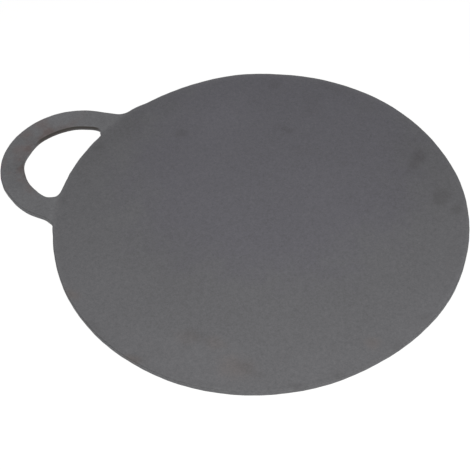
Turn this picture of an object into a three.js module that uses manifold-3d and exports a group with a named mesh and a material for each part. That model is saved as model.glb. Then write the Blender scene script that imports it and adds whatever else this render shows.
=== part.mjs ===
// A bakestone, or girdle: a flat round steel plate for baking on a hob or over a fire, with a loop handle at one side.
// Millimetres, +Z up. The origin is the centre of the disc's underside, and the handle points along -X.
// Left and right are those of a cook who holds the handle and looks along +X, so left is +Y.

import * as THREE from "three";
import { mergeVertices, toCreasedNormals } from "three/addons/utils/BufferGeometryUtils.js";
import Module from "manifold-3d";

const wasm = await Module();
wasm.setup();

// The plate that the disc and the handle are cut from
const plateThickness = 4;
const edgeRounding = 1;

// The disc
const discRadius = 140;

// The loop handle: a bend of flat bar, centred a little outside the rim, on two legs that splay towards the disc
const loopCentreOffset = 2;
const loopOuterRadius = 52.8;
const loopBarWidth = 17.4;
const legSplay = THREE.MathUtils.degToRad(8);

// The welds between the handle's feet and the rim, dressed flush, with each corner blended by hand to its own radius
const weldWidth = 5;
const leftOuterBlend = 12;
const rightOuterBlend = 5;
const leftSlotBlend = 4.5;
const rightSlotBlend = 8;

// The hairline between two joined pieces, and how closely chords follow the round edges
const jointGap = 0.3;
const chordError = 0.02;
const roundingSteps = 3;
const creaseAngle = THREE.MathUtils.degToRad(35);

// How far a cutting solid runs past what it cuts
const cutOverrun = 10;

const loopCentreDistance = discRadius + loopCentreOffset;
const loopInnerRadius = loopOuterRadius - loopBarWidth;
const discCentre = new THREE.Vector2(0, 0);
const loopCentre = new THREE.Vector2(-loopCentreDistance, 0);
const quarterTurn = Math.PI / 2;
const halfTurn = Math.PI;
const fullTurn = 2 * Math.PI;

// Points along an arc, so close together that no chord leaves the arc by more than chordError.
function arcPoints(centre, radius, startAngle, endAngle) {
  const finestStep = 2 * Math.acos(1 - chordError / radius);
  const steps = Math.max(2, Math.ceil(Math.abs(endAngle - startAngle) / finestStep));
  const points = [];
  for (let i = 0; i <= steps; i += 1) {
    const angle = startAngle + ((endAngle - startAngle) * i) / steps;
    const arm = new THREE.Vector2(Math.cos(angle), Math.sin(angle));
    points.push(arm.multiplyScalar(radius).add(centre));
  }
  return points;
}

// The shorter arc about a centre, from a start point to an end point.
function blendPoints(centre, start, end) {
  const startArm = start.clone().sub(centre);
  const endArm = end.clone().sub(centre);
  const turn = Math.atan2(startArm.cross(endArm), startArm.dot(endArm));
  const startAngle = startArm.angle();
  return arcPoints(centre, startArm.length(), startAngle, startAngle + turn);
}

// The same points on the other side of the handle, in the opposite order.
function mirrored(points) {
  return points.map((point) => new THREE.Vector2(point.x, -point.y)).reverse();
}

// The outside corner from the rim to a leg, for the left side: an arc that touches both.
function outerCorner(blendRadius) {
  const legDirection = new THREE.Vector2(Math.cos(legSplay), Math.sin(legSplay));
  const legNormal = new THREE.Vector2(-Math.sin(legSplay), Math.cos(legSplay));
  const besideLeg = legNormal.clone().multiplyScalar(loopOuterRadius + blendRadius).add(loopCentre);
  const toNearest = -besideLeg.dot(legDirection);
  const missSquared = besideLeg.lengthSq() - toNearest ** 2;
  const travel = toNearest - Math.sqrt((discRadius + blendRadius) ** 2 - missSquared);
  const centre = legDirection.clone().multiplyScalar(travel).add(besideLeg);
  const onRim = centre.clone().setLength(discRadius);
  const onLeg = legNormal.clone().multiplyScalar(-blendRadius).add(centre);
  return { rimAngle: onRim.angle(), points: blendPoints(centre, onRim, onLeg) };
}

// The slot's corner from the inside of the loop to the rim, for the left side: an arc that touches both.
function slotCorner(blendRadius) {
  const fromDisc = discRadius + blendRadius;
  const fromLoop = loopInnerRadius - blendRadius;
  const along = (fromDisc ** 2 - fromLoop ** 2 + loopCentreDistance ** 2) / (2 * loopCentreDistance);
  const centre = new THREE.Vector2(-along, Math.sqrt(fromDisc ** 2 - along ** 2));
  const onRim = centre.clone().setLength(discRadius);
  const fromLoopCentre = centre.clone().sub(loopCentre).setLength(loopInnerRadius);
  const onLoop = fromLoopCentre.clone().add(loopCentre);
  return {
    rimAngle: onRim.angle(),
    loopAngle: fromLoopCentre.angle(),
    points: blendPoints(centre, onLoop, onRim),
  };
}

const leftOuter = outerCorner(leftOuterBlend);
const rightOuter = outerCorner(rightOuterBlend);
const leftSlot = slotCorner(leftSlotBlend);
const rightSlot = slotCorner(rightSlotBlend);

// Where the feet meet the rim, as angles about the disc's centre
const leftFootStart = leftOuter.rimAngle;
const leftFootEnd = leftSlot.rimAngle;
const rightFootStart = fullTurn - rightSlot.rimAngle;
const rightFootEnd = fullTurn - rightOuter.rimAngle;

// Disc and handle as one outline: round the rim to the left foot, round the loop, and back to the rim at the right foot.
function girdleOutline() {
  const bendStart = quarterTurn + legSplay;
  return [
    ...arcPoints(discCentre, discRadius, rightFootEnd - fullTurn, leftFootStart),
    ...leftOuter.points,
    ...arcPoints(loopCentre, loopOuterRadius, bendStart, fullTurn - bendStart),
    ...mirrored(rightOuter.points),
  ];
}

// The hand slot: along the rim from left to right, and back round the inside of the loop.
function slotOutline() {
  return [
    ...arcPoints(discCentre, discRadius, leftFootEnd, rightFootStart),
    ...mirrored(rightSlot.points),
    ...arcPoints(loopCentre, loopInnerRadius, fullTurn - rightSlot.loopAngle, leftSlot.loopAngle),
    ...leftSlot.points,
  ];
}

// A part of a ring about the disc's centre, whose inner edge passes through each of the angles.
function ringPartOutline(innerRadius, outerRadius, angles) {
  const innerEdge = angles
    .slice(1)
    .flatMap((angle, i) => arcPoints(discCentre, innerRadius, angles[i], angle));
  const outerEdge = arcPoints(discCentre, outerRadius, angles.at(-1), angles[0]);
  return [...innerEdge, ...outerEdge];
}

function solidOf(geometry) {
  geometry.deleteAttribute("normal");
  geometry.deleteAttribute("uv");
  const merged = mergeVertices(geometry);
  return new wasm.Manifold(
    new wasm.Mesh({
      numProp: 3,
      vertProperties: new Float32Array(merged.attributes.position.array),
      triVerts: new Uint32Array(merged.index.array),
    }),
  );
}

// The whole girdle after dressing, with every outer edge and slot edge rounded.
function dressedPlate() {
  const shape = new THREE.Shape(girdleOutline());
  shape.holes.push(new THREE.Path(slotOutline()));
  const geometry = new THREE.ExtrudeGeometry(shape, {
    depth: plateThickness - 2 * edgeRounding,
    bevelThickness: edgeRounding,
    bevelSize: edgeRounding,
    bevelOffset: -edgeRounding,
    bevelSegments: roundingSteps,
  });
  return solidOf(geometry.translate(0, 0, edgeRounding));
}

// A solid ring part, taller than the plate, that picks out one piece's share of it.
function ringPart(innerRadius, outerRadius, angles) {
  const shape = new THREE.Shape(ringPartOutline(innerRadius, outerRadius, angles));
  const geometry = new THREE.ExtrudeGeometry(shape, {
    depth: plateThickness + 2 * cutOverrun,
    bevelEnabled: false,
  });
  return solidOf(geometry.translate(0, 0, -cutOverrun));
}

function namedMesh(name, solid, material) {
  const { vertProperties, triVerts } = solid.getMesh();
  const geometry = new THREE.BufferGeometry();
  geometry.setAttribute("position", new THREE.BufferAttribute(vertProperties, 3));
  geometry.setIndex(new THREE.BufferAttribute(triVerts, 1));
  const mesh = new THREE.Mesh(toCreasedNormals(geometry, creaseAngle), material);
  mesh.name = name;
  return mesh;
}

const steel = { roughness: 0.7, metalness: 0.4 };
const plate = dressedPlate();
const weldStart = discRadius + jointGap;
const weldEnd = discRadius + weldWidth;
const handleStart = weldEnd + jointGap;
const pastHandle = loopCentreDistance + loopOuterRadius + cutOverrun;
const footAngles = [leftFootStart, leftFootEnd, rightFootStart, rightFootEnd];

// The round blank that the dough lies on
const discSolid = plate.subtract(ringPart(discRadius, pastHandle, footAngles));
const disc = namedMesh(
  "griddle_disc",
  discSolid,
  new THREE.MeshStandardMaterial({ color: 0x626265, ...steel }),
);

// The bend of flat bar, with its feet cut to the curve of the rim
const handleSolid = plate.intersect(ringPart(handleStart, pastHandle, footAngles));
const handle = namedMesh(
  "loop_handle",
  handleSolid,
  new THREE.MeshStandardMaterial({ color: 0x666566, ...steel }),
);

// The weld metal at each foot, which also fills the corners
const weldMaterial = { color: 0x656567, ...steel };
const leftWeld = namedMesh(
  "left_foot_weld",
  plate.intersect(ringPart(weldStart, weldEnd, [leftFootStart, halfTurn])),
  new THREE.MeshStandardMaterial(weldMaterial),
);
const rightWeld = namedMesh(
  "right_foot_weld",
  plate.intersect(ringPart(weldStart, weldEnd, [halfTurn, rightFootEnd])),
  new THREE.MeshStandardMaterial(weldMaterial),
);

const girdle = new THREE.Group();
girdle.add(disc, handle, leftWeld, rightWeld);

export default girdle;
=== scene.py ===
# A girdle for baking on a hob or over a fire: a flat round steel plate with a loop handle, on a white table.
# Metres, +Z up, as in the CAD model: the origin is the centre of the disc's underside, and the handle points
# along -X. Left and right are those of a cook who holds the handle and looks along +X, so left is +Y.

import math
from types import SimpleNamespace

import bpy
from mathutils import Matrix, Vector


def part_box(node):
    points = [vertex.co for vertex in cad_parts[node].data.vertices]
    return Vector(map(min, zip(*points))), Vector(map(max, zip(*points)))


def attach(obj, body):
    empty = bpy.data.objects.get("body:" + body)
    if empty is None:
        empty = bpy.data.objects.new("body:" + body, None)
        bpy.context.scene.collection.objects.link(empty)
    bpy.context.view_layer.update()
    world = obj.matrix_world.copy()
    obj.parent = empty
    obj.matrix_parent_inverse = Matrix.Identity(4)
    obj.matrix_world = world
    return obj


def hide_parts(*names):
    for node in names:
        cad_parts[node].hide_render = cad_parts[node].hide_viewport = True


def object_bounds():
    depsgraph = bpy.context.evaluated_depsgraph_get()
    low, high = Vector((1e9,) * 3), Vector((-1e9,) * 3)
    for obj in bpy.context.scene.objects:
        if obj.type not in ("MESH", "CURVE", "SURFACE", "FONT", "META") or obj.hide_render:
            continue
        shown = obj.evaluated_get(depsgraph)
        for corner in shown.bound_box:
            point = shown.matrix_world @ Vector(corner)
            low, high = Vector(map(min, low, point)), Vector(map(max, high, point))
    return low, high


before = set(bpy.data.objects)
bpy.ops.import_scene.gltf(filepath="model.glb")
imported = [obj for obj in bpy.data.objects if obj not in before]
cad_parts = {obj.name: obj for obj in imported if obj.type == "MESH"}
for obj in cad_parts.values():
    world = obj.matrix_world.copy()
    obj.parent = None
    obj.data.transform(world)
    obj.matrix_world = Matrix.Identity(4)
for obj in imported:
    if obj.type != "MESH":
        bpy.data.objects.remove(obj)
cad_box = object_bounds()
mm = 0.001

# Camera
# It stands in front of the girdle and to its right, looks down at a little over half a right angle, and is
# held slightly askew, as the photograph's was. Its aim is the point of the cooking face in mid-picture.
photo_pixels = 470
focal_pixels = 1173.6
sensor_mm = 36.0
view_distance = 0.7834
view_azimuth = math.radians(26.42)
view_elevation = math.radians(50.24)
view_roll = math.radians(4.56)
plate_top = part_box("griddle_disc")[1].z
aim = Vector((-8.5 * mm, -22.0 * mm, plate_top))


def direction(azimuth, elevation):
    """From the girdle towards a place at an azimuth round it and an elevation above the table."""
    level = math.cos(elevation)
    return Vector((math.sin(azimuth) * level, -math.cos(azimuth) * level, math.sin(elevation)))


toward_camera = direction(view_azimuth, view_elevation)
level_right = Vector((math.cos(view_azimuth), math.sin(view_azimuth), 0.0))
level_up = toward_camera.cross(level_right)
camera_right = math.cos(view_roll) * level_right - math.sin(view_roll) * level_up
camera_up = math.sin(view_roll) * level_right + math.cos(view_roll) * level_up

bpy.ops.object.select_all(action="DESELECT")
bpy.ops.object.camera_add()
camera = bpy.context.object
camera.data.sensor_width = sensor_mm
camera.data.lens = focal_pixels * sensor_mm / photo_pixels
turned = Matrix((camera_right, camera_up, toward_camera)).transposed().to_4x4()
camera.matrix_world = Matrix.Translation(aim + toward_camera * view_distance) @ turned
bpy.context.scene.camera = camera
bpy.context.scene.view_settings.view_transform = "Standard"

# Table and light
# A white table that goes on past the picture, an even white room, and one broad soft lamp on the near side.
# Table and room look white to the eye and in reflections, and the table keeps the girdle's soft shadow.
white = (1.0, 1.0, 1.0, 1.0)
table_white = (0.9, 0.9, 0.9, 1.0)
table_glow = 0.8
table_brightness = 1.16
table_radius = 4.0
table_sides = 64
table_gap = 0.05 * mm
room_light = 0.08
lamp_azimuth = math.radians(24.0)
lamp_elevation = math.radians(65.0)
lamp_distance = 0.45
lamp_width = 0.7
lamp_power = 2.37
lamp_colour = (1.0, 0.985, 0.94)


class Shade:
    """A number, colour or vector in a shader. Sums on a number add Math nodes, and node() adds any other."""

    def __init__(self, tree, socket=None):
        self.tree = tree
        self.socket = socket

    def node(self, kind, settings=None, inputs=None, output=None):
        """Adds a node with its settings and then its sockets, and gives its first or its named output."""
        made = self.tree.nodes.new(kind)
        for name, value in (settings or {}).items():
            setattr(made, name, value)
        for name, value in (inputs or {}).items():
            self.fill(made, name, value)
        outputs = [socket for socket in made.outputs if socket.enabled and output in (None, socket.name)]
        return Shade(self.tree, outputs[0])

    def fill(self, node, name, value):
        """Gives a socket, known by its name or its number, a value or a link."""
        if isinstance(name, int):
            socket = node.inputs[name]
        else:
            socket = next(s for s in node.inputs if s.enabled and s.name == name)
        if isinstance(value, Shade):
            self.tree.links.new(value.socket, socket)
        else:
            socket.default_value = value

    def math(self, operation, *values):
        return self.node("ShaderNodeMath", {"operation": operation}, dict(enumerate(values)))

    def __add__(self, other):
        return self.math("ADD", self, other)

    def __radd__(self, other):
        return self.math("ADD", other, self)

    def __sub__(self, other):
        return self.math("SUBTRACT", self, other)

    def __rsub__(self, other):
        return self.math("SUBTRACT", other, self)

    def __mul__(self, other):
        return self.math("MULTIPLY", self, other)

    def __rmul__(self, other):
        return self.math("MULTIPLY", other, self)

    def __abs__(self):
        return self.math("ABSOLUTE", self)


def seen(tree):
    """1 for the eye and for what metal and glass show, and 0 for the light that falls on things."""
    by_eye = tree.node("ShaderNodeLightPath", output="Is Camera Ray")
    in_metal = tree.node("ShaderNodeLightPath", output="Is Glossy Ray")
    in_glass = tree.node("ShaderNodeLightPath", output="Is Transmission Ray")
    return tree.math("MAXIMUM", by_eye, tree.math("MAXIMUM", in_metal, in_glass))


bpy.ops.object.select_all(action="DESELECT")
bpy.ops.mesh.primitive_circle_add(
    vertices=table_sides, radius=table_radius, fill_type="NGON", location=(0.0, 0.0, -table_gap)
)
table = bpy.context.object
table.name = "table"

table_paint = bpy.data.materials.new("table_paint")
table_paint.use_nodes = True
tree = Shade(table_paint.node_tree)
matt = tree.node("ShaderNodeBsdfDiffuse", inputs={"Color": table_white})
bright = tree.node("ShaderNodeEmission", inputs={"Color": white, "Strength": table_brightness})
both = tree.node("ShaderNodeMixShader", inputs={"Fac": seen(tree) * table_glow, 1: matt, 2: bright})
tree.fill(table_paint.node_tree.nodes["Material Output"], "Surface", both)
table.data.materials.append(table_paint)

room = bpy.data.worlds.new("room")
bpy.context.scene.world = room
room.use_nodes = True
tree = Shade(room.node_tree)
room_background = room.node_tree.nodes["Background"]
tree.fill(room_background, "Color", white)
tree.fill(room_background, "Strength", seen(tree) * (1.0 - room_light) + room_light)

lamp_place = lamp_distance * direction(lamp_azimuth, lamp_elevation)
bpy.ops.object.select_all(action="DESELECT")
bpy.ops.object.light_add(type="AREA", location=lamp_place)
lamp = bpy.context.object
lamp.name = "lamp"
lamp.data.shape = "DISK"
lamp.data.size = lamp_width
lamp.data.energy = lamp_power
lamp.data.color = lamp_colour
lamp.rotation_euler = (-lamp_place).to_track_quat("-Z", "Y").to_euler()
lamp.visible_camera = False

# The dressed plate
# The disc and the bent bar are welded at the two feet, and then the whole outline is dressed as one plate of
# 4 mm steel, its corners blended and its edges eased by hand. It is made whole, and cut into pieces below.
point_spacing = 1.0 * mm
fewest_steps = 2
merge_distance = 0.001 * mm
edge_easing = 1.0 * mm
edge_steps = 5
face_border = 0.3 * mm
face_grid = 10.0 * mm
flat_enough = 0.999
dissolve_angle = math.radians(0.1)
disc_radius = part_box("griddle_disc")[1].y
loop_centre_offset = 2.0 * mm
loop_centre = Vector((-disc_radius - loop_centre_offset, 0.0))
loop_outer_radius = 52.8 * mm
loop_bar_width = 17.4 * mm
loop_inner_radius = loop_outer_radius - loop_bar_width
leg_splay = math.radians(8.0)
left_outer_blend = 12.0 * mm
right_outer_blend = 5.0 * mm
left_slot_blend = 4.5 * mm
right_slot_blend = 8.0 * mm
disc_centre = Vector((0.0, 0.0))
quarter_turn = math.pi / 2
full_turn = 2 * math.pi

# Where dressing by hand left the outline fuller or flatter than planned: the direction and the reach to each
# side in degrees, and how far out in millimetres. The rim is seen from the disc's centre, the right leg from
# the loop's centre, and the slot from its own middle.
rim_dressing = [
    (0, 180, 0.25),
    (-165, 3, -0.8),
    (-156, 5, 0.7),
    (-82, 26, 0.45),
    (-36, 24, -0.8),
    (-8, 18, 0.3),
    (50, 24, -0.6),
    (120, 16, 0.8),
    (141, 12, -0.2),
    (154, 6, 1.5),
]
leg_dressing = [(-85, 8, -0.8), (-99, 8, 0.3)]
slot_middle = Vector((-157.0 * mm, 0.0))
slot_dressing = [
    (0, 70, -0.4),
    (-33, 9, -0.5),
    (-48, 14, -0.8),
    (-54, 5, -0.8),
    (-61, 5, 0.5),
    (-72, 18, 0.7),
    (-147, 30, 1.0),
    (118, 36, -0.5),
    (73, 9, 0.45),
    (67, 8, 0.6),
    (60, 4, -1.0),
    (54, 4, 0.6),
]

# Shallow waves that a hand-held grinder leaves along an edge: how many go round it, how far they move it out
# and in, and at what angle they start
rim_waves = [(19, 0.06 * mm, 0.4), (47, 0.04 * mm, 2.1), (113, 0.03 * mm, 4.4)]
slot_waves = [(5, 0.06 * mm, 1.3), (13, 0.04 * mm, 3.0), (31, 0.02 * mm, 5.2)]


def arc(centre, radius, start, end):
    steps = max(fewest_steps, math.ceil(abs(end - start) * radius / point_spacing))
    angles = [start + (end - start) * step / steps for step in range(steps + 1)]
    return [centre + radius * Vector((math.cos(angle), math.sin(angle))) for angle in angles]


def angle_of(point):
    return math.atan2(point.y, point.x)


def short_arc(centre, start, end):
    """The shorter arc about a centre, from one point to another."""
    arm = start - centre
    turn = math.atan2(arm.cross(end - centre), arm.dot(end - centre))
    return arc(centre, arm.length, angle_of(arm), angle_of(arm) + turn)


def other_side(points):
    """The same points on the other side of the handle, in the opposite order."""
    return [Vector((point.x, -point.y)) for point in reversed(points)]


def closed(*runs):
    """One closed outline from runs of points: gaps are filled, and points that nearly meet are made one."""
    corners = [point for run in runs for point in run]
    outline = []
    for point, following in zip(corners, corners[1:] + corners[:1]):
        steps = round((following - point).length / point_spacing)
        outline += [point.lerp(following, step / steps) for step in range(steps)]
    return outline


def dressed(outline, centre, dressing):
    """An outline with its points moved out from a centre, or in, by the dressing there."""
    moved = []
    for point in outline:
        arm = point - centre
        out = 0.0
        for towards, reach, fullness in dressing:
            turn = angle_of(arm) - math.radians(towards)
            turn = abs(math.atan2(math.sin(turn), math.cos(turn)))
            out += fullness * mm * math.cos(quarter_turn * min(turn / math.radians(reach), 1.0)) ** 2
        moved.append(point + arm.normalized() * out)
    return moved


def waved(outline, waves):
    """A closed outline with its points moved in and out across it by shallow waves."""
    lengths = [(point - before).length for before, point in zip(outline[-1:] + outline[:-1], outline)]
    total = sum(lengths)
    moved = []
    travelled = 0.0
    for i, point in enumerate(outline):
        travelled += lengths[i]
        along = (outline[(i + 1) % len(outline)] - outline[i - 1]).normalized()
        across = Vector((along.y, -along.x))
        turn = full_turn * travelled / total
        shift = sum(depth * math.sin(count * turn + start) for count, depth, start in waves)
        moved.append(point + across * shift)
    return moved


def outer_corner(blend):
    """The outside corner from the rim to the left leg: an arc that touches both."""
    down_leg = Vector((math.cos(leg_splay), math.sin(leg_splay)))
    off_leg = Vector((-math.sin(leg_splay), math.cos(leg_splay)))
    beside_leg = loop_centre + off_leg * (loop_outer_radius + blend)
    to_nearest = -beside_leg.dot(down_leg)
    nearest = (beside_leg + down_leg * to_nearest).length
    centre = beside_leg + down_leg * (to_nearest - math.sqrt((disc_radius + blend) ** 2 - nearest**2))
    return short_arc(centre, centre.normalized() * disc_radius, centre - off_leg * blend)


def slot_corner(blend):
    """The slot's left corner from the inside of the loop to the rim: an arc that touches both."""
    from_disc = disc_radius + blend
    from_loop = loop_inner_radius - blend
    loop_distance = -loop_centre.x
    along = (from_disc**2 - from_loop**2 + loop_distance**2) / (2 * loop_distance)
    centre = Vector((-along, math.sqrt(from_disc**2 - along**2)))
    on_loop = loop_centre + (centre - loop_centre).normalized() * loop_inner_radius
    return short_arc(centre, on_loop, centre.normalized() * disc_radius)


def select_only(piece):
    bpy.ops.object.select_all(action="DESELECT")
    piece.select_set(True)
    bpy.context.view_layer.objects.active = piece


def flat_solid(name, outlines, bottom, top, easing=0.0):
    """A flat solid between two heights, from its outer outline and its holes, with eased edges."""
    curve = bpy.data.curves.new(name, "CURVE")
    curve.dimensions = "2D"
    curve.fill_mode = "BOTH"
    curve.extrude = (top - bottom) / 2 - easing
    curve.bevel_depth = easing
    curve.bevel_resolution = edge_steps - 1
    curve.offset = -easing
    for outline in outlines:
        spline = curve.splines.new("POLY")
        spline.points.add(len(outline) - 1)
        for place, point in zip(spline.points, outline):
            place.co = (point.x, point.y, 0.0, 1.0)
        spline.use_cyclic_u = True
    solid = bpy.data.objects.new(name, curve)
    bpy.context.collection.objects.link(solid)
    select_only(solid)
    bpy.ops.object.convert(target="MESH")
    solid = bpy.context.object
    solid.location.z = (top + bottom) / 2
    bpy.ops.object.transform_apply(location=True, rotation=False, scale=False)
    bpy.ops.object.mode_set(mode="EDIT")
    bpy.ops.mesh.select_all(action="SELECT")
    bpy.ops.mesh.remove_doubles(threshold=merge_distance)
    bpy.ops.mesh.normals_make_consistent(inside=False)
    bpy.ops.object.mode_set(mode="OBJECT")
    return solid


left_outer = outer_corner(left_outer_blend)
right_outer = outer_corner(right_outer_blend)
left_slot = slot_corner(left_slot_blend)
right_slot = slot_corner(right_slot_blend)
bend_start = quarter_turn + leg_splay

girdle_outline = closed(
    arc(disc_centre, disc_radius, -angle_of(right_outer[0]), angle_of(left_outer[0])),
    left_outer[1:],
    arc(loop_centre, loop_outer_radius, bend_start, full_turn - bend_start),
    other_side(right_outer)[:-1],
)
slot_outline = closed(
    arc(disc_centre, disc_radius, angle_of(left_slot[-1]), full_turn - angle_of(right_slot[-1])),
    other_side(right_slot)[1:],
    arc(
        loop_centre,
        loop_inner_radius,
        full_turn - angle_of(right_slot[0] - loop_centre),
        angle_of(left_slot[0] - loop_centre),
    )[1:],
    left_slot[1:-1],
)
girdle_outline = dressed(girdle_outline, disc_centre, rim_dressing)
girdle_outline = waved(dressed(girdle_outline, loop_centre, leg_dressing), rim_waves)
slot_outline = waved(dressed(slot_outline, slot_middle, slot_dressing), slot_waves)
dressed_plate = flat_solid("dressed_plate", [girdle_outline, slot_outline], 0.0, plate_top, edge_easing)


def select_flats(piece):
    """Goes into edit mode with the upper and lower faces selected."""
    bpy.ops.object.mode_set(mode="EDIT")
    bpy.ops.mesh.select_mode(type="FACE")
    bpy.ops.mesh.select_all(action="DESELECT")
    bpy.ops.object.mode_set(mode="OBJECT")
    for face in piece.data.polygons:
        face.select = abs(face.normal.z) > flat_enough
    bpy.ops.object.mode_set(mode="EDIT")


# A narrow border keeps the eased edge's shading off the two flat faces, and a grid gives these even meshes.
select_flats(dressed_plate)
bpy.ops.mesh.dissolve_limited(angle_limit=dissolve_angle)
bpy.ops.mesh.inset(thickness=face_border)
box_low, box_high = (Vector(corner) for corner in cad_box)
for axis in (Vector((1, 0, 0)), Vector((0, 1, 0))):
    first = math.ceil(box_low.dot(axis) / face_grid)
    last = math.floor(box_high.dot(axis) / face_grid)
    for line in range(first, last + 1):
        bpy.ops.mesh.bisect(plane_co=axis * line * face_grid, plane_no=axis)
bpy.ops.object.mode_set(mode="OBJECT")

# Disc
# The round plate that the dough lies on: hot-rolled steel in its thin blue-grey mill skin, matt and finely
# grained. The skin is faintly clouded and greyer towards the rim, with small pits, greasy smudges and edges
# ground by hand.
foot_margin = 2.5 * mm
slot_clearance = 2.0 * mm
cut_overrun = 10.0 * mm
past_handle = -box_low.x + cut_overrun
smooth_angle = math.radians(35.0)

# Where the feet stand, as angles about the disc's centre. The thin feather ends of the corners beside them
# are left to the disc, and so is the slot's edge between them.
margin_turn = foot_margin / disc_radius
left_foot = (angle_of(left_outer[0]) + margin_turn, angle_of(left_slot[-1]) - margin_turn)
right_foot = (
    full_turn - angle_of(right_slot[-1]) + margin_turn,
    full_turn - angle_of(right_outer[0]) - margin_turn,
)
slot_span = (left_foot[1], right_foot[0])


def ring_part(spans, outer_radius):
    """A cutter: part of a ring about the disc's centre. Each inner span is a radius and two angles."""
    inner_edges = [arc(disc_centre, radius, *angles) for radius, angles in spans]
    outer_edge = arc(disc_centre, outer_radius, spans[-1][1][1], spans[0][1][0])
    outline = closed(*inner_edges, outer_edge)
    return flat_solid("cutter", [outline], -cut_overrun, plate_top + cut_overrun)


def share(name, operation, cutter):
    """One piece's share of the dressed plate: what lies inside or outside a cutter."""
    select_only(dressed_plate)
    bpy.ops.object.duplicate()
    piece = bpy.context.object
    piece.name = name
    cut = piece.modifiers.new("cut", "BOOLEAN")
    cut.operation = operation
    cut.solver = "EXACT"
    cut.object = cutter
    bpy.ops.object.modifier_apply(modifier=cut.name)
    bpy.data.objects.remove(cutter)
    select_only(piece)
    bpy.ops.object.shade_smooth_by_angle(angle=smooth_angle)
    return piece


disc_colour = (0.1092, 0.1078, 0.1262, 1.0)
rim_colour = (0.1144, 0.115, 0.1258, 1.0)
handle_colour = (0.147, 0.149, 0.161, 1.0)
bare_colour = (0.2, 0.195, 0.19, 1.0)
scale_colour = (0.047, 0.042, 0.039, 1.0)
grease_colour = (0.03, 0.026, 0.026, 1.0)
rust_colour = (0.132, 0.114, 0.112, 1.0)

# Patterns in the steel: how large their patches are, how finely these break up, and where a pattern starts.
# Then how much lighter or darker each makes the skin.
clouds = (52.0 * mm, 3.0, 1.7)
mottle = (11.0 * mm, 4.0, 5.1)
speckle = (2.2 * mm, 3.0, 7.9)
grain = (0.9 * mm, 2.0, 4.7)
undulation = (45.0 * mm, 2.0, 2.6)
grinding = (0.6 * mm, 2.0, 8.3)
grinding_stretch = (0.06, 0.06, 1.0)
unstretched = (1.0, 1.0, 1.0)
start_steps = (1.0, 2.0, 3.0)
pattern_scale = 1.0
noise_middle = 0.5
cloud_tone = 0.13
mottle_tone = 0.11
speckle_tone = 0.45
grain_tone = 0.6
grinding_tone = 0.25

# The skin greys unevenly with the distance from its bluest place, and turns into the bar's skin at the rim
bluest_place = (-10.0 * mm, 50.0 * mm, 0.0)
greying = (74.0 * mm, 126.0 * mm)
greying_unevenness = 50.0 * mm
tone_step = 4.0 * mm

# Pits: how far apart, how wide, how dark and how deep
pit_spacing = 6.0 * mm
pit_reach = 0.4 * mm
pit_tone = 0.35
pit_depth = 0.05 * mm

# How squarely a place faces up or down where the eased edge starts and is whole, and where the wall does.
# The edge is worn in places. On the right, the lamp's side, its eased part is painted darker, a painted
# shade that tones down the lamp's highlight there, and on the left it is painted lighter, a painted
# highlight.
edge_facing = (1.0, 0.92)
wall_facing = (0.9, 0.4)
edge_wear = 0.25
right_edge_painted_shade = -0.3
left_edge_painted_highlight = 0.14
edge_light_turns = (-60.0 * mm, 60.0 * mm)
# Painted light: the walls are painted a little lighter all round, to lift their shade towards the face's
# tone
wall_painted_light = 0.04

# Painted light on the rim's wall and eased edge at the near right, for the table's light reflected onto them
reflected_light_place = (108.0 * mm, -80.0 * mm, 0.0)
reflected_light_reach = (130.0 * mm, 30.0 * mm)
reflected_light_tone = 0.17

# Bands inside the rim, made darker or paler. The dark one on the near side is painted shade that tones down
# the light along the border beside the eased edge, the pale one on the far side is a painted highlight, and
# a third, broad and paler, lies towards +X. Columns: x and y of the middle, how far from it a band has ended
# and is whole, how far in from the rim it starts and is whole, all in millimetres, and how much lighter it
# is
rim_bands = [
    (20, -138, 140, 50, 4.5, 2, -0.09),
    (-30, 135, 120, 60, 5.5, 2.5, 0.08),
    (125, -40, 110, 50, 25, 8, 0.05),
]

# The black scale on the slot's wall. It is painted thinner towards the underside: a painted light for the
# table's light reflected onto the wall's foot. Each pair is where it starts and is whole: by how squarely a
# place faces up or down, into the bar, upwards, out from the rim and to the left.
scale_facing = (0.98, 0.7)
scale_depth = (3.0 * mm, 2.0 * mm)
table_light_height = (1.0 * mm, 3.0 * mm)
table_light_thinning = 0.55
scale_start = (3.0 * mm, 8.0 * mm)
scale_side = (2.0 * mm, 14.0 * mm)
scale_roughness = 0.15

# The finish and the relief of the skin, whose heights are in metres
skin_roughness = 0.68
roughness_mottle = 0.08
roughness_speckle = 0.1
skin_metallic = 0.1
grain_height = 0.02 * mm
speckle_height = 0.03 * mm
undulation_height = 0.15 * mm
grinding_height = 0.03 * mm
bump_strength = 1.0
bump_distance = 1.0

# A place times the level plane has lost its height, and distances are taken from the origin
level_plane = (1.0, 1.0, 0.0)
origin = (0.0, 0.0, 0.0)


def noise(place, pattern, stretch=unstretched):
    """Cloudy noise about zero."""
    size, detail, start = pattern
    location = [start * step for step in start_steps]
    scale = [factor / size for factor in stretch]
    mapped = place.node("ShaderNodeMapping", inputs={"Vector": place, "Location": location, "Scale": scale})
    inputs = {"Vector": mapped, "Scale": pattern_scale, "Detail": detail}
    return place.node("ShaderNodeTexNoise", inputs=inputs) - noise_middle


def rise(value, low, high):
    """0 below one value and 1 above another, smooth between. The other way round, it falls."""
    return value.node(
        "ShaderNodeMapRange",
        {"interpolation_type": "SMOOTHSTEP"},
        {"Value": value, "From Min": low, "From Max": high},
    )


def distance(place, point):
    return place.node("ShaderNodeVectorMath", {"operation": "DISTANCE"}, {0: place, 1: point})


def mixed(colour, other, share_of_other):
    return share_of_other.node(
        "ShaderNodeMix", {"data_type": "RGBA"}, {"Factor": share_of_other, "A": colour, "B": other}
    )


def toned(colour, tone):
    """A colour made lighter or darker all over by a tone."""
    return tone.node("ShaderNodeVectorMath", {"operation": "SCALE"}, {"Vector": colour, "Scale": tone})


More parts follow.
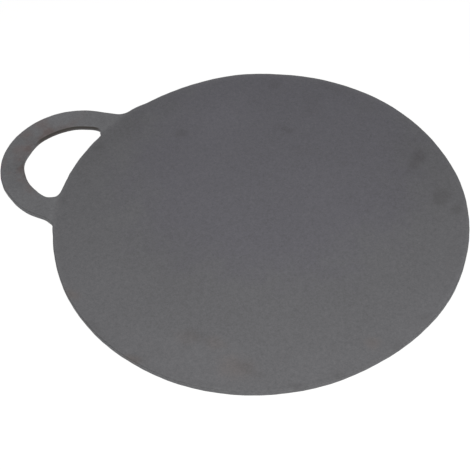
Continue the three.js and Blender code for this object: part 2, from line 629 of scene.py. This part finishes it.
def mill_skin(name):
    """The steel of every piece, before a piece's own marks: one pattern that runs on over the joints."""
    material = bpy.data.materials.new(name)
    material.use_nodes = True
    tree = Shade(material.node_tree)
    place = tree.node("ShaderNodeTexCoord", output="Object")
    normal = tree.node("ShaderNodeTexCoord", output="Normal")
    facing = abs(normal.node("ShaderNodeSeparateXYZ", inputs={"Vector": normal}, output="Z"))
    towards_left = place.node("ShaderNodeSeparateXYZ", inputs={"Vector": place}, output="Y")
    upwards = place.node("ShaderNodeSeparateXYZ", inputs={"Vector": place}, output="Z")
    flat_place = place.node("ShaderNodeVectorMath", {"operation": "MULTIPLY"}, {0: place, 1: level_plane})
    from_centre = distance(flat_place, origin)
    from_loop = distance(flat_place, (*loop_centre, 0.0))

    cloudy = noise(place, clouds)
    mottled = noise(place, mottle)
    speckled = noise(place, speckle)
    grained = noise(place, grain)
    ground = noise(place, grinding, grinding_stretch)
    nearest_pit = place.node(
        "ShaderNodeTexVoronoi", inputs={"Vector": place, "Scale": 1.0 / pit_spacing}, output="Distance"
    )
    pitted = rise(nearest_pit, pit_reach / pit_spacing, 0.0)
    edge = rise(facing, *edge_facing)
    wall = rise(facing, *wall_facing)

    tone = 1.0 + cloudy * cloud_tone + mottled * mottle_tone + speckled * speckle_tone + grained * grain_tone
    # The eased edge's painted shade on the right, which tones down the lamp's highlight, and painted
    # highlight on the left
    edge_painted_light = rise(towards_left, *edge_light_turns) * (left_edge_painted_highlight - right_edge_painted_shade) + right_edge_painted_shade
    # Painted light at the near right's wall and eased edge, for the table's reflected light
    reflected_light = rise(distance(flat_place, reflected_light_place), *reflected_light_reach)
    tone = tone - pitted * pit_tone + edge * (1.0 - wall) * edge_painted_light + edge * reflected_light * reflected_light_tone
    # Painted light on the walls, and the grinder's lines along them
    tone = tone + wall * (wall_painted_light + ground * grinding_tone)
    # Bands of painted shade and painted highlight inside the rim, and one paler band towards +X
    for x, y, end, whole, start_depth, whole_depth, paler in rim_bands:
        band = rise(distance(flat_place, (x * mm, y * mm, 0.0)), end * mm, whole * mm)
        band = band * rise(from_centre, disc_radius - start_depth * mm, disc_radius - whole_depth * mm)
        tone = tone + (1.0 - wall) * band * paler
    from_bluest = distance(flat_place, bluest_place)
    greyed = rise(from_bluest + mottled * greying_unevenness + cloudy * greying_unevenness, *greying)
    past_rim = rise(from_centre, disc_radius - tone_step, disc_radius + tone_step)
    colour = mixed(mixed(disc_colour, rim_colour, greyed), handle_colour, past_rim)
    colour = mixed(colour, bare_colour, edge * mottled * edge_wear)
    in_slot = rise(from_loop, loop_inner_radius + scale_depth[0], loop_inner_radius + scale_depth[1])
    past_weld = rise(from_centre, disc_radius + scale_start[0], disc_radius + scale_start[1])
    scale_and_table_light = in_slot * rise(facing, *scale_facing) * past_weld * rise(towards_left, *scale_side)
    # The scale thins towards the underside: painted light for the table's light reflected onto the wall's
    # foot
    scale_and_table_light = scale_and_table_light * (1.0 - table_light_thinning + rise(upwards, *table_light_height) * table_light_thinning)
    return SimpleNamespace(
        material=material,
        place=place,
        from_centre=from_centre,
        from_loop=from_loop,
        towards_left=towards_left,
        mottled=mottled,
        tone=tone,
        colour=colour,
        scale_and_table_light=scale_and_table_light,
        roughness=skin_roughness + mottled * roughness_mottle + speckled * roughness_speckle,
        relief=grained * grain_height
        + speckled * speckle_height
        + noise(place, undulation) * undulation_height
        + ground * wall * grinding_height
        - pitted * pit_depth,
    )


def finished(piece, skin):
    """Puts a skin on a piece, under the black scale that the grinder left on the slot's wall."""
    surface = skin.material.node_tree.nodes["Principled BSDF"]
    shade = skin.place
    shade.fill(surface, "Base Color", mixed(toned(skin.colour, skin.tone), scale_colour, skin.scale_and_table_light))
    shade.fill(surface, "Roughness", skin.roughness + skin.scale_and_table_light * scale_roughness)
    shade.fill(surface, "Metallic", skin_metallic)
    relief = {"Strength": bump_strength, "Distance": bump_distance, "Height": skin.relief}
    shade.fill(surface, "Normal", shade.node("ShaderNodeBump", inputs=relief))
    piece.data.materials.clear()
    piece.data.materials.append(skin.material)


# Greasy smudges, faint rust stains and paler patches on the cooking face: x and y of the middle, lengths
# along x and y, all in millimetres, and how strong
smudges = [
    (84, 85, 16, 32, 0.29),
    (76, 95, 60, 34, 0.06),
    (109, 57, 17, 30, 0.26),
    (122, 51, 12, 18, 0.2),
    (37, -116, 20, 15, 0.19),
    (47, -119, 18, 12, 0.14),
    (1, -105, 24, 13, 0.16),
    (-2, -116, 12, 12, 0.14),
    (-20, -124, 40, 18, 0.05),
    (-82, 52, 18, 16, 0.25),
    (-13, 82, 28, 10, 0.16),
    (5, 66, 24, 10, 0.07),
    (-38, 122, 16, 18, 0.14),
    (3, 134, 60, 16, 0.1),
    (-3, 114, 24, 40, 0.08),
    (-134, 6, 34, 84, 0.1),
    (-132, 22, 14, 18, 0.16),
    (-133, -35, 12, 12, 0.1),
    (34, 122, 24, 14, 0.08),
    (-121, 46, 30, 52, 0.13),
    (-102, 78, 26, 34, 0.07),
    (130, -42, 20, 12, 0.14),
    (121, -68, 18, 12, 0.13),
    (95, -102, 20, 10, 0.14),
    (76, -118, 26, 10, 0.19),
    (-28, -134, 26, 10, 0.12),
    (-66, -122, 24, 10, 0.14),
    (130, 10, 18, 60, 0.05),
    (85, 80, 120, 110, 0.07),
    (-35, -60, 110, 110, 0.04),
]
rust_stains = [
    (33, -118, 36, 24, 0.4),
    (14, -107, 22, 16, 0.3),
    (-4, -109, 24, 16, 0.2),
    (-88, -105, 20, 12, 0.5),
    (105, -72, 16, 14, 0.4),
    (-30, -136, 18, 10, 0.5),
    (-45, 134, 24, 10, 0.3),
]
pale_patches = [
    (-58, 68, 70, 96, 0.06),
    (-72, 90, 110, 90, 0.04),
    (90, -20, 60, 80, 0.02),
    (10, -120, 160, 50, 0.05),
    (-70, -80, 80, 70, 0.03),
    (-128, -44, 20, 18, 0.025),
]

# How ragged a mark's outline is, and at what shares of its reach it has ended and is whole
mark_raggedness = 0.9
mark_fade = (1.0, 0.1)


def marked(skin, marks):
    """How strongly each place is marked by soft ragged ovals that overlap."""
    strength = 0.0
    for x, y, length, width, most in marks:
        spot = skin.place.node(
            "ShaderNodeMapping",
            {"vector_type": "TEXTURE"},
            {
                "Vector": skin.place,
                "Location": (x * mm, y * mm, plate_top),
                "Scale": (length * mm / 2, width * mm / 2, plate_top),
            },
        )
        reach = distance(spot, origin) + skin.mottled * mark_raggedness
        strength = strength + rise(reach, *mark_fade) * most
    return strength


disc_spans = [
    (disc_radius, left_foot),
    (disc_radius + slot_clearance, slot_span),
    (disc_radius, right_foot),
]
disc = share("disc", "DIFFERENCE", ring_part(disc_spans, past_handle))
skin = mill_skin("disc_skin")
skin.colour = mixed(skin.colour, rust_colour, marked(skin, rust_stains))
skin.colour = mixed(skin.colour, grease_colour, marked(skin, smudges))
skin.tone = skin.tone + marked(skin, pale_patches)
finished(disc, skin)
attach(disc, "root")
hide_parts("griddle_disc")

# Loop handle
# A bend of flat steel bar, set against the rim and welded there. Hands have rubbed its outer edge bright on
# the left, and its skin has browned from the heat of bending and from handling, most of all inside the bend.
weld_width = 5.0 * mm
foot_radius = disc_radius + weld_width
burnished_band = 8.0 * mm
burnished_side = (-10.0 * mm, 30.0 * mm)
burnishing = 0.09
browning_from = 12.0 * mm
browning_full = 34.0 * mm
browned_band = 10.0 * mm
blotches = (9.0 * mm, 3.0, 4.2)
blotch_strength = 2.4
inner_browning = 0.6
darkest = (0.4, 1.4)
inner_darkening = 0.22
brown_colour = (0.142, 0.118, 0.12, 1.0)

# Marks on the bar, written as the disc's are. The dull patches run on over the welds.
heat_stains = [
    (-184, 26, 20, 16, 0.6),
    (-176, 22, 16, 22, 0.4),
    (-188, 13, 13, 14, 0.5),
    (-186, -4, 13, 14, 0.6),
    (-181, -12, 12, 20, 0.3),
]
rubbed_patches = [
    (-172, 38, 72, 56, 0.14),
    (-181, 0, 16, 13, 0.1),
    (-186, 21, 14, 13, 0.06),
]
dull_patches = [
    (-179, -18, 20, 28, 0.18),
    (-170, -30, 20, 14, 0.05),
    (-167, -35, 32, 18, 0.07),
    (-184, 8, 16, 12, 0.06),
    (-141, -46, 28, 22, 0.075),
]

handle_spans = [(foot_radius, span) for span in (left_foot, slot_span, right_foot)]
handle = share("handle", "INTERSECT", ring_part(handle_spans, past_handle))
skin = mill_skin("handle_skin")
away = rise(skin.from_centre, disc_radius + browning_from, disc_radius + browning_full)
inward = rise(skin.from_loop, loop_inner_radius + browned_band, loop_inner_radius)
outward = rise(skin.from_loop, loop_outer_radius - burnished_band, loop_outer_radius)
outward = outward * rise(skin.towards_left, *burnished_side)
stained = noise(skin.place, blotches) * blotch_strength
browned = rise(inward * inner_browning + stained, 0.0, 1.0) * away + marked(skin, heat_stains)
skin.colour = mixed(skin.colour, brown_colour, browned)
skin.tone = skin.tone - rise(inward + stained, *darkest) * away * inner_darkening + outward * burnishing
skin.tone = skin.tone + marked(skin, rubbed_patches) - marked(skin, dull_patches)
finished(handle, skin)
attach(handle, "root")
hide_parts("loop_handle")

# Foot welds
# Steel weld metal between the rim and each foot of the handle, ground flush with both faces and blended
# into the edges. The grinder went along the joint, and its lines show where they haven't darkened again.
dressing_marks = (0.5 * mm, 3.0, 6.4)
dressing_stretch = (1.0, 0.12, 1.0)
dressing_fade = 1.5 * mm
dressing_tone = 0.3
dressing_height = 0.03 * mm
dressing_polish = 0.06
welds = [("left_weld", "left_foot_weld", left_foot), ("right_weld", "right_foot_weld", right_foot)]
for name, node, foot in welds:
    weld = share(name, "INTERSECT", ring_part([(disc_radius, foot)], foot_radius))
    skin = mill_skin(name + "_skin")
    on_bead = rise(skin.from_centre, disc_radius, disc_radius + dressing_fade)
    on_bead = on_bead * rise(skin.from_centre, foot_radius, foot_radius - dressing_fade)
    lines = noise(skin.place, dressing_marks, dressing_stretch) * on_bead
    skin.tone = skin.tone + lines * dressing_tone - marked(skin, dull_patches)
    skin.relief = skin.relief + lines * dressing_height
    skin.roughness = skin.roughness - on_bead * dressing_polish
    finished(weld, skin)
    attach(weld, "root")
    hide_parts(node)
bpy.data.objects.remove(dressed_plate)
